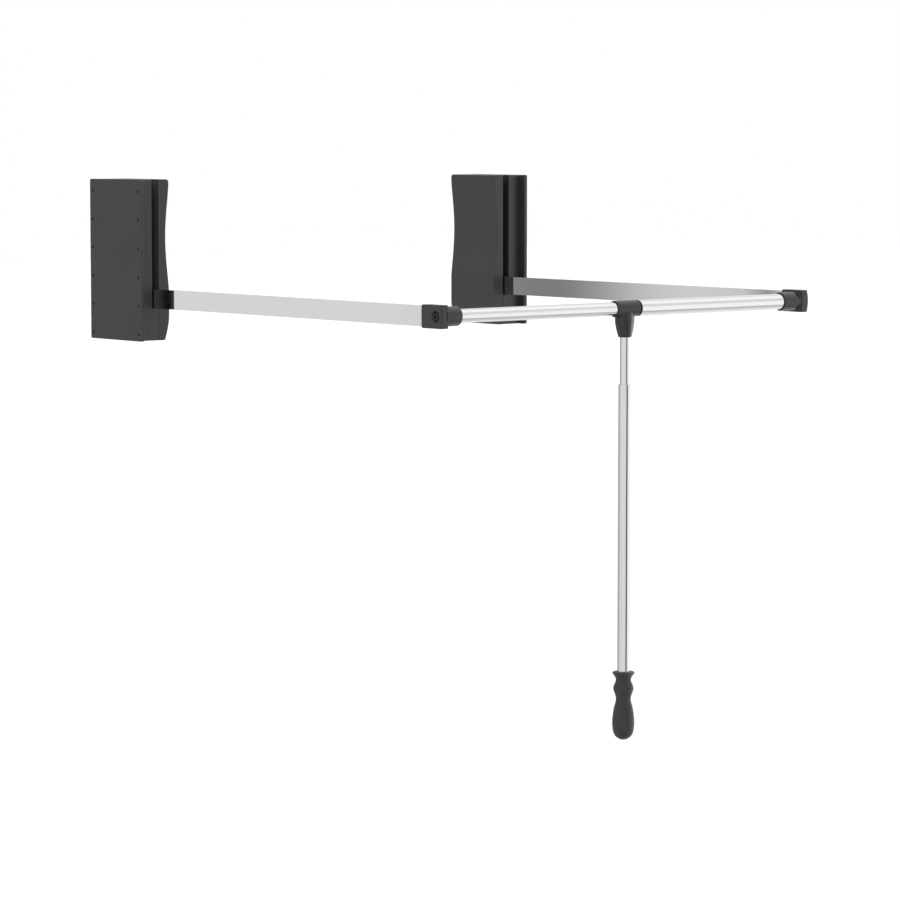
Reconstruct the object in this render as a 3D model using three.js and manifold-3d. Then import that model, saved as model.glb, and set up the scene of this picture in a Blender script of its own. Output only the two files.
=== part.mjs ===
// Pull-down wardrobe rail: two spring-lift housings, two swing arms, a telescopic hanging rail
// and a pull rod. Millimetres, +Z up, +X from the left housing to the right one, front is -Y.
// The origin is on the left mounting face, where the arms' pivot axis meets it.
import * as THREE from 'three';
import { mergeVertices } from 'three/addons/utils/BufferGeometryUtils.js';
import Module from 'manifold-3d';

const wasm = await Module();
wasm.setup();

// ---- driving dimensions -------------------------------------------------------------------
const WIDTH = 860; // between the two mounting faces
const GAP = 0.3; // left between pieces that touch or turn in each other
const WALL = 2.5; // moulded wall

const PLATE_DEPTH = 150;
const PLATE_THICK = 6.5;
const TOP_Z = 201; // top of plate and body above the pivot
const PLATE_BOTTOM_Z = -71;
const BODY_BOTTOM_Z = -69;
const FLANGE = 14; // plate in front of and behind the body
const SLOT_NEAR_X = 32; // slot for the arm, from the mounting face
const SLOT_FAR_X = 45.5;
const BODY_THICK = 67.5;
const COVER_DIP = 7.2; // hollow of the inner cover's face
const DIP_LOW_Z = 12;
const DIP_HIGH_Z = 192;
const SCREW_ROWS = 6;
const SCREW_PITCH = 48.2;
const SCREW_FIRST_DROP = 20; // first hole below the plate's top
const SCREW_EDGE = 8; // hole centre from the plate's edge

const ARM_REACH = 810; // pivot axis to rail axis
const BAR_HEIGHT = 32;
const BAR_THICK = 10;
const BAR_WALL = 1.5;
const HUB_R = 9;
const AXLE_R = 5;

const CRANK_R = 18; // crank pin from the pivot axis
const PIN_R = 3.5;
const CRANK_FACE_X = 23.5;

const RAIL_INNER_R = 11;
const RAIL_OUTER_R = 13;
const RAIL_OUTER_WALL = 1;
const COLLAR_R = 15.4;
const BRACKET_THICK = 15;
const BRACKET_HALF_HEIGHT = 18.3;
const BRACKET_FRONT = 16; // in front of the rail axis
const BRACKET_BACK = 33; // behind it
const BRACKET_OUT_X = 31.25; // bracket's outer face, from the mounting face
const NOSE_BOW = 3; // its front is bowed, so its corners lie this far behind the middle
const LEFT_COLLAR_END_X = 74.7;
const RIGHT_COLLAR_END_X = 85.1; // the thick tube's collar is longer

const TEE_X = 427; // middle of the tee on the rail
const TEE_HALF = 25;
const TEE_R = 13.2;
const STEM_DROP = 46; // rail axis to the tee's lower end
const SOCKET_TOP_Z = -16; // top of the rod's socket in the tee
const TEE_SCREW_Z = -32;
const ROD_R = 8;
const ROD_TUBE_R = 10.25;
const ROD_BOTTOM_Z = -400; // lower end of the thin tube inside the thick one
const ROD_TUBE_TOP_Z = -122;
const HANDLE_TOP_Z = -587;

const BODY_HALF = PLATE_DEPTH / 2 - FLANGE;
const SLOT_MID_X = (SLOT_NEAR_X + SLOT_FAR_X) / 2;
const PIN_OFFSET = CRANK_R * Math.SQRT1_2; // pin at rest, 45 degrees above the axle, at the back
const PIN_SLOT_HALF = PIN_R + 0.8; // the pin's path bows 0.53 mm off the straight ratio
const ROUND = 24; // sides of a turned piece
const SMALL = 12;

// ---- materials ------------------------------------------------------------------------------
const finish = (color, roughness, metalness) => () =>
  new THREE.MeshStandardMaterial({ color, roughness, metalness });
const charcoal = finish(0x46464a, 0.5, 0);
const blackPlastic = finish(0x2b2b2d, 0.55, 0);
const chrome = finish(0xe6e7e9, 0.08, 1);
const steel = finish(0xa9abae, 0.35, 1);
const springSteel = finish(0x77797c, 0.35, 1);
const rubber = finish(0x1c1c1c, 0.85, 0);
const nylon = finish(0xe4e1d8, 0.5, 0);

// ---- solids -----------------------------------------------------------------------------------
function solid(geometry) {
  const plain = geometry.clone();
  plain.deleteAttribute('normal');
  plain.deleteAttribute('uv');
  const merged = mergeVertices(plain, 1e-4);
  const vertProperties = new Float32Array(merged.attributes.position.array);
  const triVerts = new Uint32Array(merged.index.array);
  const made = new wasm.Manifold(new wasm.Mesh({ numProp: 3, vertProperties, triVerts }));
  if (made.volume() > 0) return made;
  triVerts.reverse();
  return new wasm.Manifold(new wasm.Mesh({ numProp: 3, vertProperties, triVerts }));
}

function geometryOf(manifold) {
  const { vertProperties, triVerts } = manifold.getMesh();
  const geometry = new THREE.BufferGeometry();
  geometry.setAttribute('position', new THREE.BufferAttribute(vertProperties, 3));
  geometry.setIndex(new THREE.BufferAttribute(triVerts, 1));
  return geometry;
}

function box([x0, x1], [y0, y1], [z0, z1]) {
  const geometry = new THREE.BoxGeometry(x1 - x0, y1 - y0, z1 - z0);
  return solid(geometry.translate((x0 + x1) / 2, (y0 + y1) / 2, (z0 + z1) / 2));
}

// A turned solid along X or Z: the profile is a list of [radius, place along the axis].
function turned(axis, profile, sides = ROUND) {
  const points = profile.map(([r, along]) => new THREE.Vector2(r, along));
  const geometry = new THREE.LatheGeometry(points, sides);
  if (axis === 'x') geometry.rotateZ(-Math.PI / 2);
  if (axis === 'y') return solid(geometry);
  if (axis === 'z') geometry.rotateX(Math.PI / 2);
  return solid(geometry);
}

function rod(axis, radius, [a, b], sides = ROUND) {
  return turned(axis, [[0, a], [radius, a], [radius, b], [0, b]], sides);
}

function tube(axis, outer, inner, [a, b], sides = ROUND) {
  return turned(axis, [[inner, a], [outer, a], [outer, b], [inner, b], [inner, a]], sides);
}

// An outline in (y, z) carried along X, or one in (z, x) carried along Y.
function carried(axis, outline, [a, b], curveSegments = 6) {
  const options = { depth: b - a, bevelEnabled: false, curveSegments };
  const geometry = new THREE.ExtrudeGeometry(outline, options);
  const turn = new THREE.Matrix4();
  if (axis === 'x') turn.set(0, 0, 1, a, 1, 0, 0, 0, 0, 1, 0, 0, 0, 0, 0, 1);
  if (axis === 'y') turn.set(0, 1, 0, 0, 0, 0, 1, a, 1, 0, 0, 0, 0, 0, 0, 1);
  return solid(geometry.applyMatrix4(turn));
}

function roundedOutline([u0, u1], [v0, v1], radius) {
  const shape = new THREE.Shape();
  shape.moveTo(u0 + radius, v0);
  shape.lineTo(u1 - radius, v0);
  shape.absarc(u1 - radius, v0 + radius, radius, -Math.PI / 2, 0);
  shape.lineTo(u1, v1 - radius);
  shape.absarc(u1 - radius, v1 - radius, radius, 0, Math.PI / 2);
  shape.lineTo(u0 + radius, v1);
  shape.absarc(u0 + radius, v1 - radius, radius, Math.PI / 2, Math.PI);
  shape.lineTo(u0, v0 + radius);
  shape.absarc(u0 + radius, v0 + radius, radius, Math.PI, Math.PI * 1.5);
  return shape;
}

const cut = (body, ...tools) => tools.reduce((left, tool) => left.subtract(tool), body);
const join = (body, ...others) => others.reduce((left, other) => left.add(other), body);

function addMesh(group, name, manifold, material, place = [0, 0, 0]) {
  const mesh = new THREE.Mesh(geometryOf(manifold), material());
  mesh.name = name;
  mesh.position.set(...place);
  group.add(mesh);
}

// The same solid seen in a mirror across the plane x = 0.
const mirrored = (manifold) => manifold.mirror([1, 0, 0]);

// ---- one housing, drawn with x counted inwards from its mounting face ------------------------
const SHELL_X0 = PLATE_THICK + GAP;
const SHELL_X1 = SLOT_FAR_X - GAP;
const CHAMBER_X1 = SLOT_NEAR_X - WALL;
const POCKET_X1 = 57.5;
const POCKET_BOTTOM_Z = -52;
const ARM_FLOOR_Z = -24.5; // floor of the slot, under the stop bumper
const SLOT_LIP_Z = -BAR_HEIGHT / 2 - 0.8;
const SLOT_BACK_Y = BAR_HEIGHT / 2 + 2;
const LONG_SCREWS = [[52, 150], [52, -45], [-50, -45]];
const LONG_SCREW_R = 1.6;
const SPRING_X = 16.5;
const SPRING_Y = 15.5;
const SPRING_MEAN_R = 5.8;
const SPRING_WIRE_R = 1.1;
const YOKE_TOP_Z = 23;
const ANCHOR_Z = 164;
const DAMPER_Y = 38;

function basePlate() {
  const half = PLATE_DEPTH / 2;
  const outline = roundedOutline([-half, half], [PLATE_BOTTOM_Z, TOP_Z], 3);
  const holes = [];
  for (let row = 0; row < SCREW_ROWS; row += 1) {
    const z = TOP_Z - SCREW_FIRST_DROP - row * SCREW_PITCH;
    for (const y of [-half + SCREW_EDGE, half - SCREW_EDGE]) {
      holes.push(rod('x', 2.3, [-1, PLATE_THICK + 1], 8).translate([0, y, z]));
    }
  }
  const boss = rod('x', HUB_R, [PLATE_THICK - 1, PLATE_THICK + 5.5]);
  const seat = rod('x', AXLE_R + GAP, [PLATE_THICK, PLATE_THICK + 6]);
  return cut(join(carried('x', outline, [0, PLATE_THICK], 3), boss), seat, ...holes);
}

function outerShell() {
  const outline = roundedOutline([-BODY_HALF, BODY_HALF], [BODY_BOTTOM_Z, TOP_Z], 3);
  const inside = BODY_HALF - WALL;
  const low = BODY_BOTTOM_Z + WALL;
  const high = TOP_Z - WALL;
  const slotX = [SLOT_NEAR_X, SHELL_X1 + 1];
  return cut(
    carried('x', outline, [SHELL_X0, SHELL_X1], 3),
    box([SHELL_X0 - 1, CHAMBER_X1], [-inside, inside], [low, high]),
    box(slotX, [-inside, SLOT_BACK_Y], [ARM_FLOOR_Z, TOP_Z + 1]),
    box(slotX, [-BODY_HALF - 1, -inside], [SLOT_LIP_Z, TOP_Z + 1]),
    box(slotX, [SLOT_BACK_Y + WALL, inside], [low, high]),
    box(slotX, [-inside, SLOT_BACK_Y + WALL], [low, ARM_FLOOR_Z - WALL]),
    rod('x', HUB_R + 2.3, [CHAMBER_X1 - 1, SLOT_NEAR_X + 1]),
    ...LONG_SCREWS.map(([y, z]) =>
      rod('x', LONG_SCREW_R + GAP, [CHAMBER_X1 - 1, SLOT_NEAR_X + 1], SMALL).translate([0, y, z])),
  );
}

// The inner face runs straight at the bottom and the top and dips between them.
function coverFaceX(z) {
  const t = (z - DIP_LOW_Z) / (DIP_HIGH_Z - DIP_LOW_Z);
  return BODY_THICK - COVER_DIP * Math.abs(Math.sin(Math.PI * t)) ** 1.35;
}

function innerCover() {
  const shape = new THREE.Shape();
  const tuckZ = -28; // below this the face tapers in towards the bottom
  const cornerR = 5;
  shape.moveTo(BODY_BOTTOM_Z, SLOT_FAR_X);
  shape.lineTo(BODY_BOTTOM_Z, BODY_THICK - 11.5);
  shape.quadraticCurveTo(BODY_BOTTOM_Z, BODY_THICK - 9, BODY_BOTTOM_Z + 2.5, BODY_THICK - 8);
  shape.quadraticCurveTo(-46, BODY_THICK - 1, tuckZ, BODY_THICK);
  const steps = 14;
  for (let i = 0; i <= steps; i += 1) {
    const z = DIP_LOW_Z + ((DIP_HIGH_Z - DIP_LOW_Z) * i) / steps;
    shape.lineTo(z, coverFaceX(z));
  }
  shape.lineTo(TOP_Z - cornerR, BODY_THICK);
  shape.absarc(TOP_Z - cornerR, BODY_THICK - cornerR, cornerR, Math.PI / 2, 0, true);
  shape.lineTo(TOP_Z, SLOT_FAR_X);
  const inside = BODY_HALF - WALL;
  const bosses = LONG_SCREWS.map(([y, z]) =>
    cut(
      rod('x', 4, [SLOT_FAR_X + 3.2, POCKET_X1 + 1], SMALL),
      rod('x', LONG_SCREW_R + GAP, [SLOT_FAR_X, POCKET_X1 - 1], SMALL),
    ).translate([0, y, z]));
  const shell = cut(
    carried('y', shape, [-BODY_HALF, BODY_HALF], 4),
    box([SLOT_FAR_X - 1, POCKET_X1], [-inside, inside], [POCKET_BOTTOM_Z, TOP_Z - WALL]),
  );
  return join(shell, ...bosses);
}

function slotPlate() {
  const half = BODY_HALF - WALL - GAP;
  const faceX = [SLOT_FAR_X + GAP, SLOT_FAR_X + GAP + WALL];
  return cut(
    box(faceX, [-half, half], [POCKET_BOTTOM_Z + GAP, TOP_Z - WALL - GAP]),
    rod('x', AXLE_R + 3.3, [SLOT_FAR_X, faceX[1] + 1]),
    ...LONG_SCREWS.map(([y, z]) =>
      rod('x', LONG_SCREW_R + GAP, [SLOT_FAR_X, faceX[1] + 1], SMALL).translate([0, y, z])),
  );
}

function pivotAxle() {
  const headX = SLOT_FAR_X + 3.7;
  return turned('x', [
    [0, PLATE_THICK + GAP],
    [AXLE_R, PLATE_THICK + GAP],
    [AXLE_R, headX],
    [AXLE_R + 2.5, headX],
    [AXLE_R + 2.5, headX + 3],
    [0, headX + 3],
  ]);
}

function liftSpring() {
  const turns = 9;
  const stepsPerTurn = 10;
  const bottom = YOKE_TOP_Z + GAP + SPRING_WIRE_R + 0.2;
  const top = ANCHOR_Z - GAP - SPRING_WIRE_R - 0.2;
  const points = [];
  for (let i = 0; i <= turns * stepsPerTurn; i += 1) {
    const t = i / (turns * stepsPerTurn);
    const angle = Math.PI * 2 * turns * t;
    const x = SPRING_MEAN_R * Math.cos(angle);
    const y = SPRING_MEAN_R * Math.sin(angle);
    points.push(new THREE.Vector3(x, y, bottom + (top - bottom) * t));
  }
  const wire = new THREE.Shape();
  wire.absarc(0, 0, SPRING_WIRE_R, 0, Math.PI * 2);
  const extrudePath = new THREE.CatmullRomCurve3(points);
  const steps = turns * stepsPerTurn;
  return solid(new THREE.ExtrudeGeometry(wire, { steps, curveSegments: 3, extrudePath }));
}

function springAnchor() {
  return cut(
    box([SHELL_X0, SPRING_X + 7], [SPRING_Y - 9.5, SPRING_Y + 9.5], [ANCHOR_Z, ANCHOR_Z + 7]),
    rod('z', 3.4, [ANCHOR_Z - 1, ANCHOR_Z + 8], SMALL).translate([SPRING_X, SPRING_Y, 0]),
  );
}

function damperBody() {
  const barrel = rod('z', 7, [62, 150]).translate([SPRING_X, DAMPER_Y, 0]);
  const foot = box([SHELL_X0, SPRING_X - 3], [DAMPER_Y - 6, DAMPER_Y + 6], [126, 144]);
  const bore = rod('z', 2.8, [60, 128], SMALL).translate([SPRING_X, DAMPER_Y, 0]);
  return cut(join(barrel, foot), bore);
}

function longScrew() {
  return turned('x', [
    [0, SHELL_X0 + 0.2],
    [3.4, SHELL_X0 + 0.2],
    [3.4, SHELL_X0 + 2.4],
    [LONG_SCREW_R, SHELL_X0 + 2.4],
    [LONG_SCREW_R, POCKET_X1 - 2],
    [0, POCKET_X1 - 1.5],
  ], SMALL);
}

function addHousing(group, side, flip) {
  const put = (name, made, material) => addMesh(group, `${side}_${name}`, flip(made), material);
  put('base_plate', basePlate(), charcoal);
  put('outer_shell', outerShell(), charcoal);
  put('inner_cover', innerCover(), charcoal);
  put('slot_plate', slotPlate(), charcoal);
  put('pivot_axle', pivotAxle(), steel);
  put('shell_bush', tube('x', HUB_R + 2, HUB_R + GAP, [CHAMBER_X1 - 0.6, SLOT_NEAR_X + 1.3]), nylon);
  put('plate_bush', tube('x', AXLE_R + 3, AXLE_R + GAP, [SLOT_FAR_X + 0.1, SLOT_FAR_X + 3.4]), nylon);
  const onSpringLine = [SPRING_X, SPRING_Y, 0];
  put('lift_spring', liftSpring().translate(onSpringLine), springSteel);
  put('spring_anchor', springAnchor(), steel);
  put('damper_body', damperBody(), blackPlastic);
  const bumperX = [SLOT_NEAR_X + 1.5, SLOT_FAR_X - 1.3];
  const bumperZ = [ARM_FLOOR_Z + GAP, -BAR_HEIGHT / 2 - GAP];
  put('stop_bumper', box(bumperX, [-56, -42], bumperZ), rubber);
  LONG_SCREWS.forEach(([y, z], index) => {
    put(`cover_screw_${index + 1}`, longScrew().translate([0, y, z]), steel);
  });
}

// ---- the lift gear that turns and slides inside a housing -------------------------------------
function crank() {
  const diskX = [CRANK_FACE_X, CRANK_FACE_X + 5];
  const turnedPart = join(
    rod('x', CRANK_R + PIN_R + 1, diskX),
    rod('x', HUB_R, [diskX[1] - 1, SLOT_FAR_X - 1.9]),
  );
  const bore = rod('x', AXLE_R + GAP, [CRANK_FACE_X - 1, SLOT_FAR_X]);
  const pinHole = rod('x', PIN_R + GAP, [CRANK_FACE_X - 1, diskX[1] + 1], SMALL);
  return cut(turnedPart, bore, pinHole.translate([0, PIN_OFFSET, PIN_OFFSET]));
}

function yoke() {
  const plateX = [SPRING_X - 4, SPRING_X + 4];
  const slotY = [PIN_OFFSET - PIN_SLOT_HALF, CRANK_R + PIN_SLOT_HALF];
  const slotZ = [PIN_OFFSET - PIN_SLOT_HALF, PIN_OFFSET + PIN_SLOT_HALF];
  return cut(
    box(plateX, [AXLE_R + 1, DAMPER_Y + 8], [PIN_OFFSET - 8.5, YOKE_TOP_Z]),
    box([plateX[0] - 1, plateX[1] + 1], slotY, slotZ),
  );
}

function addLiftGear(group, side, flip) {
  const put = (name, made, material) => addMesh(group, `${side}_${name}`, flip(made), material);
  put('crank', crank(), steel);
  const pin = rod('x', PIN_R, [SPRING_X - 3.8, CRANK_FACE_X + 4.8], SMALL);
  put('crank_pin', pin.translate([0, PIN_OFFSET, PIN_OFFSET]), steel);
  put('yoke', yoke(), steel);
  const guide = rod('z', 3, [YOKE_TOP_Z + GAP, TOP_Z - WALL - 2.5], SMALL);
  put('spring_guide_rod', guide.translate([SPRING_X, SPRING_Y, 0]), steel);
  const piston = rod('z', 2.5, [YOKE_TOP_Z + GAP, 92], SMALL);
  put('damper_rod', piston.translate([SPRING_X, DAMPER_Y, 0]), steel);
}

// ---- an arm with its rail bracket ---------------------------------------------------------------
const BAR_X = [SLOT_MID_X - BAR_THICK / 2, SLOT_MID_X + BAR_THICK / 2];
const BAR_END_Y = -ARM_REACH + 15;
const RAIL_END_X = BRACKET_OUT_X + 10.25; // the tube's end inside its bracket

function armBar() {
  const half = BAR_HEIGHT / 2;
  const section = roundedOutline([-half, half], BAR_X, 2);
  const side = new THREE.Shape();
  side.moveTo(BAR_END_Y, -half);
  side.lineTo(0, -half);
  side.absarc(0, 0, half, -Math.PI / 2, Math.PI / 2);
  side.lineTo(BAR_END_Y, half);
  const bar = carried('y', section, [BAR_END_Y, half], 3);
  const bounds = carried('x', side, [BAR_X[0] - 1, BAR_X[1] + 1], 12);
  const inside = [BAR_X[0] + BAR_WALL, BAR_X[1] - BAR_WALL];
  const hollow = box(inside, [BAR_END_Y - 1, -25], [-half + BAR_WALL, half - BAR_WALL]);
  return cut(bar.intersect(bounds), hollow, rod('x', HUB_R + GAP, [BAR_X[0] - 1, BAR_X[1] + 1]));
}

function bracketOutline() {
  const high = BRACKET_HALF_HEIGHT;
  const back = BRACKET_BACK;
  const cornerY = -BRACKET_FRONT + NOSE_BOW;
  const cornerR = 3;
  const shape = new THREE.Shape();
  shape.moveTo(cornerY, -high);
  shape.lineTo(back - cornerR, -high);
  shape.absarc(back - cornerR, -high + cornerR, cornerR, -Math.PI / 2, 0);
  shape.lineTo(back, high - cornerR);
  shape.absarc(back - cornerR, high - cornerR, cornerR, 0, Math.PI / 2);
  shape.lineTo(cornerY, high);
  shape.quadraticCurveTo(-BRACKET_FRONT - NOSE_BOW, 0, cornerY, -high);
  return shape;
}

function railBracket(tubeR, collarEndX) {
  const outX = BRACKET_OUT_X;
  const inX = outX + BRACKET_THICK;
  const block = carried('x', bracketOutline(), [outX, inX], 4);
  const pocketZ = BAR_HEIGHT / 2 + GAP;
  return cut(
    join(block, rod('x', COLLAR_R, [inX - 2, collarEndX])),
    rod('x', tubeR + GAP, [RAIL_END_X - GAP, collarEndX + 1]),
    rod('x', 10, [outX - 1, outX + 4]),
    rod('x', 2.8, [outX, RAIL_END_X], SMALL),
    box([BAR_X[0] - GAP, BAR_X[1] + GAP], [15 - GAP, BRACKET_BACK + 1], [-pocketZ, pocketZ]),
  );
}

function railScrew() {
  const seatX = BRACKET_OUT_X + 4 - GAP;
  const screw = turned('x', [
    [0, seatX - 3],
    [6.2, seatX - 3],
    [6.9, seatX - 2.3],
    [6.9, seatX],
    [2.5, seatX],
    [2.5, seatX + 24],
    [0, seatX + 24],
  ]);
  return cut(screw, rod('x', 2.6, [seatX - 4, seatX - 1.4], 6));
}

function addArm(group, side, flip, { tubeR, boreR, collarEndX }) {
  const put = (name, made, material) => addMesh(group, `${side}_${name}`, flip(made), material);
  const atRail = (made) => made.translate([0, -ARM_REACH, 0]);
  put('arm_bar', armBar(), chrome);
  put('rail_bracket', atRail(railBracket(tubeR, collarEndX)), charcoal);
  put('rail_screw', atRail(railScrew()), steel);
  put('rail_plug', atRail(tube('x', boreR - GAP, 2.8, [RAIL_END_X, RAIL_END_X + 20])), nylon);
}

// ---- the telescopic rail, in the frame's own x ---------------------------------------------------
const TEE_RIGHT_X = TEE_X + TEE_HALF;
const INNER_TUBE_END_X = 775;
const RAIL_INNER_WALL = 1.2;
const BUSH_FLANGE = 1.6; // black rim of the bush, between the tee and the thick tube

function addRail(group) {
  const place = [0, -ARM_REACH, 0];
  const innerBore = RAIL_INNER_R - RAIL_INNER_WALL;
  const outerBore = RAIL_OUTER_R - RAIL_OUTER_WALL;
  const inner = tube('x', RAIL_INNER_R, innerBore, [RAIL_END_X, INNER_TUBE_END_X]);
  addMesh(group, 'rail_inner_tube', inner, chrome, place);
  const glide = turned('x', [
    [0, INNER_TUBE_END_X - 14],
    [innerBore - GAP, INNER_TUBE_END_X - 14],
    [innerBore - GAP, INNER_TUBE_END_X + GAP],
    [outerBore - GAP, INNER_TUBE_END_X + GAP],
    [outerBore - GAP, INNER_TUBE_END_X + 4],
    [0, INNER_TUBE_END_X + 4],
  ]);
  addMesh(group, 'rail_glide', glide, nylon, place);
  const outerX = [TEE_RIGHT_X + BUSH_FLANGE + 2 * GAP, WIDTH - RAIL_END_X];
  addMesh(group, 'rail_outer_tube', tube('x', RAIL_OUTER_R, outerBore, outerX), chrome, place);
  const flangeX = [TEE_RIGHT_X + GAP, TEE_RIGHT_X + GAP + BUSH_FLANGE];
  const bush = turned('x', [
    [RAIL_INNER_R + GAP, flangeX[0]],
    [RAIL_OUTER_R, flangeX[0]],
    [RAIL_OUTER_R, flangeX[1]],
    [outerBore - GAP, flangeX[1]],
    [outerBore - GAP, outerX[0] + 40],
    [RAIL_INNER_R + GAP, outerX[0] + 40],
    [RAIL_INNER_R + GAP, flangeX[0]],
  ]);
  addMesh(group, 'rail_bush', bush, blackPlastic, place);
}

// ---- the pull rod ------------------------------------------------------------------------------
function teeFitting() {
  const stem = turned('z', [
    [0, -STEM_DROP],
    [9.2, -STEM_DROP],
    [10.2, -STEM_DROP + 1.2],
    [11.6, -STEM_DROP + 9],
    [12.5, -STEM_DROP + 19],
    [12.8, -STEM_DROP + 30],
    [12.8, -4],
    [0, -4],
  ]);
  // Round at the lower end and oval under the sleeve, wider along the rail.
  const oval = stem.warp((point) => {
    const up = (point[2] + STEM_DROP) / STEM_DROP;
    point[0] *= 1 + 0.4 * Math.min(1, up * 1.9);
  });
  const sleeve = turned('x', [
    [0, -TEE_HALF],
    [TEE_R - 0.6, -TEE_HALF],
    [TEE_R, -TEE_HALF + 0.6],
    [TEE_R, TEE_HALF - 3],
    [TEE_R - 0.4, TEE_HALF - 1],
    [TEE_R - 1.2, TEE_HALF],
    [0, TEE_HALF],
  ]);
  return cut(
    join(sleeve, oval),
    rod('x', RAIL_INNER_R + GAP, [-TEE_HALF - 1, TEE_HALF + 1]),
    rod('z', ROD_R + GAP, [-STEM_DROP - 1, SOCKET_TOP_Z]),
    rod('y', 1.8, [5, 20], SMALL).translate([0, 0, TEE_SCREW_Z]),
  );
}

function teeScrew() {
  return turned('y', [[0, 6.5], [1.5, 6.5], [1.5, 13.2], [3.4, 13.2], [2.8, 15], [0, 15.2]], SMALL)
    .translate([0, 0, TEE_SCREW_Z]);
}

function rodGlide(bottom) {
  return turned('z', [
    [0, bottom - 12],
    [ROD_TUBE_R - 1.3, bottom - 12],
    [ROD_TUBE_R - 1.3, bottom - GAP],
    [ROD_R - 1.5, bottom - GAP],
    [ROD_R - 1.5, bottom + 15],
    [0, bottom + 15],
  ]);
}

// Outline of the turned handle: radius against the depth below its top.
const HANDLE_OUTLINE = [
  [18.3, 2.5], [14, 8.5], [12.55, 15], [16.6, 27.3], [12.2, 44.2],
  [15.9, 61.5], [18.1, 81], [16.95, 96.4], [13, 105.5], [5.8, 110.6],
];
const HANDLE_LENGTH = 111.5;
const HANDLE_BORE_DEPTH = 14;

function handle() {
  const control = HANDLE_OUTLINE.map(([r, drop]) => new THREE.Vector2(r, -drop));
  const outline = new THREE.SplineCurve(control).getPoints(22);
  const profile = outline.map((point) => [point.x, point.y]);
  const bored = [
    [0, -HANDLE_BORE_DEPTH],
    [ROD_TUBE_R + GAP, -HANDLE_BORE_DEPTH],
    [ROD_TUBE_R + GAP, 0],
    [16.6, 0],
  ];
  return turned('z', [...bored, ...profile, [0, -HANDLE_LENGTH]]);
}

function addPullRod(group) {
  const put = (name, made, material) => addMesh(group, name, made, material);
  const tubeBottom = HANDLE_TOP_Z - HANDLE_BORE_DEPTH + GAP;
  put('tee_fitting', teeFitting(), charcoal);
  put('tee_screw', teeScrew(), steel);
  put('rod_inner_tube', cut(
    tube('z', ROD_R, ROD_R - 1.2, [ROD_BOTTOM_Z, SOCKET_TOP_Z - GAP]),
    rod('y', 1.8, [5, 9], SMALL).translate([0, 0, TEE_SCREW_Z]),
  ), chrome);
  put('rod_glide', rodGlide(ROD_BOTTOM_Z), nylon);
  put('rod_outer_tube', tube('z', ROD_TUBE_R, ROD_TUBE_R - 1, [tubeBottom, ROD_TUBE_TOP_Z]), chrome);
  const bushZ = [ROD_TUBE_TOP_Z - 28, ROD_TUBE_TOP_Z - 0.2];
  put('rod_bush', tube('z', ROD_TUBE_R - 1.3, ROD_R + GAP, bushZ), nylon);
  addMesh(group, 'handle', handle(), charcoal, [0, 0, HANDLE_TOP_Z]);
}

// ---- assembly ----------------------------------------------------------------------------------
const lift = new THREE.Group();
const leftSide = new THREE.Group();
const rightSide = new THREE.Group();
rightSide.position.x = WIDTH;
const straight = (manifold) => manifold;

addHousing(leftSide, 'left', straight);
addLiftGear(leftSide, 'left', straight);
addArm(leftSide, 'left', straight, {
  tubeR: RAIL_INNER_R,
  boreR: RAIL_INNER_R - RAIL_INNER_WALL,
  collarEndX: LEFT_COLLAR_END_X,
});
addHousing(rightSide, 'right', mirrored);
addLiftGear(rightSide, 'right', mirrored);
addArm(rightSide, 'right', mirrored, {
  tubeR: RAIL_OUTER_R,
  boreR: RAIL_OUTER_R - RAIL_OUTER_WALL,
  collarEndX: RIGHT_COLLAR_END_X,
});
addRail(lift);

const pullRod = new THREE.Group();
pullRod.position.set(TEE_X, -ARM_REACH, 0);
addPullRod(pullRod);
lift.add(leftSide, rightSide, pullRod);

export default lift;
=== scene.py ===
"""Looks of a pull-down wardrobe rail: two spring-lift housings, swing arms, a rail and a pull rod.

Every length is in metres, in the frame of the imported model: +X from the left housing to the
right one, -Y towards the user and +Z up, with the origin on the left mounting face at the
arms' pivot axis.
"""

from __future__ import annotations

import logging
import math
from dataclasses import dataclass, replace
from enum import Enum
from typing import Callable, Iterable, Sequence

import bmesh
import bpy
from mathutils import Matrix, Vector


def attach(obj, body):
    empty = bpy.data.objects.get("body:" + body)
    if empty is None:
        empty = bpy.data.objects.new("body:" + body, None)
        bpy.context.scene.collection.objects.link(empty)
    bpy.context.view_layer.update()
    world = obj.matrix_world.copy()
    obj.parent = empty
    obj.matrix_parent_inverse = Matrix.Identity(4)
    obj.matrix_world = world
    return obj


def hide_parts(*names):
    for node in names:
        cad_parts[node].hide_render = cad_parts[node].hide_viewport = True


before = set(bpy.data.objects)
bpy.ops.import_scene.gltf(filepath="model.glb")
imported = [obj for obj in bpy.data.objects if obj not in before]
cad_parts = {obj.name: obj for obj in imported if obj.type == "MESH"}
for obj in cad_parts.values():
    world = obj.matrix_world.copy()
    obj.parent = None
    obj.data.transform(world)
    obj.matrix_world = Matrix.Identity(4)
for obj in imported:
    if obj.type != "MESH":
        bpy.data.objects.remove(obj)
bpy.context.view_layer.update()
LOG = logging.getLogger("wardrobe_rail")
MM = 0.001
WHITE = (1, 1, 1, 1)
Point = tuple[float, float, float]
Span = tuple[float, float]
Outline = Sequence[Span]
Piece = bpy.types.Object
Socket = bpy.types.NodeSocket
EdgeTest = Callable[[Vector, Vector], bool]


class Side(Enum):
    """The two ends of the rail."""

    LEFT = "left"
    RIGHT = "right"


class Axis(Enum):
    """An axis that a round piece is turned about."""

    X = (1.0, 0.0, 0.0)
    Y = (0.0, 1.0, 0.0)
    Z = (0.0, 0.0, 1.0)


class Surface(Enum):
    """How a finish was made, which sets the pattern of its nodes."""

    MOULDED = "moulded"
    POLISHED = "polished"
    BRUSHED = "brushed"
    DRAWN = "drawn"


# ---- finishes ----------------------------------------------------------------------------------

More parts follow.
